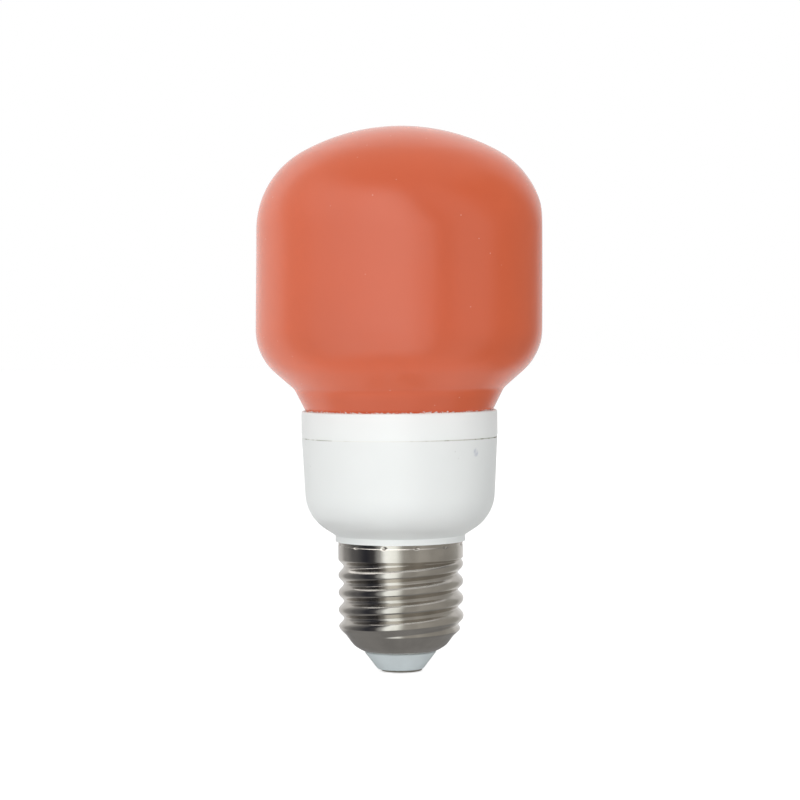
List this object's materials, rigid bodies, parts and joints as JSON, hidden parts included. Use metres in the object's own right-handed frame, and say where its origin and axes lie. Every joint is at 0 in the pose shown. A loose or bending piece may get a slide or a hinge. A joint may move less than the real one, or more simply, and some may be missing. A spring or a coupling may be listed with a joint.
{
  "type": "energy saving bulb",
  "caption": "Compact fluorescent lamp under an orange-red coated globe, with a white two-part plastic housing and an Edison screw cap.",
  "frame": {"origin": "centre of the bottom face of the centre contact, on the lamp's axis", "axes": "+Z along the axis from the cap to the dome of the globe, -Y to the side seen in the picture"},
  "size_m": [0.06, 0.06, 0.1134],
  "materials": {
    "globe": "glossy orange-red coat over blown glass",
    "tube_holder": "satin white moulded plastic",
    "ballast_housing": "satin white moulded plastic",
    "screw_shell": "nickel-plated rolled sheet",
    "cap_insulator": "pale grey-white moulded insulator",
    "centre_contact": "dull metal",
    "discharge_tube": "white phosphor coat inside glass",
    "ballast_board": "brown paper laminate",
    "smoothing_capacitor": "sleeved can",
    "choke_core": "dark grey ferrite",
    "choke_bobbin": "black moulding",
    "choke_coil": "enamelled copper wire",
    "drive_transformer": "coated ferrite ring",
    "power_transistors": "black moulding",
    "resonant_capacitor": "dipped film capacitor",
    "coupling_capacitor": "dipped film capacitor",
    "fuse_resistor": "cement-coated resistor",
    "rectifier_diodes": "black moulding",
    "board_resistors": "lacquered film resistor",
    "filter_choke": "ferrite drum",
    "filter_coil": "enamelled copper wire",
    "wrap_pins": "tinned wire",
    "electrode_leads": "bare lead wire",
    "live_lead": "insulated wire",
    "shell_lead": "insulated wire"
  },
  "bodies": {
    "root": {"globe": "globe", "tube_holder": "tube_holder", "ballast_housing": "ballast_housing", "screw_shell": "screw_shell", "cap_insulator": "cap_insulator", "centre_contact": "centre_contact", "discharge_tube": "discharge_tube", "ballast_board": "ballast_board", "smoothing_capacitor": "smoothing_capacitor", "choke_core": "choke_core", "choke_bobbin": "choke_bobbin", "choke_coil": "choke_coil", "drive_transformer": "drive_transformer", "power_transistors": "power_transistors", "resonant_capacitor": "resonant_capacitor", "coupling_capacitor": "coupling_capacitor", "fuse_resistor": "fuse_resistor", "rectifier_diodes": "rectifier_diodes", "board_resistors": "board_resistors", "filter_choke": "filter_choke", "filter_coil": "filter_coil", "wrap_pins": "wrap_pins", "electrode_leads": "electrode_leads", "live_lead": "live_lead", "shell_lead": "shell_lead"}
  },
  "joints": []
}
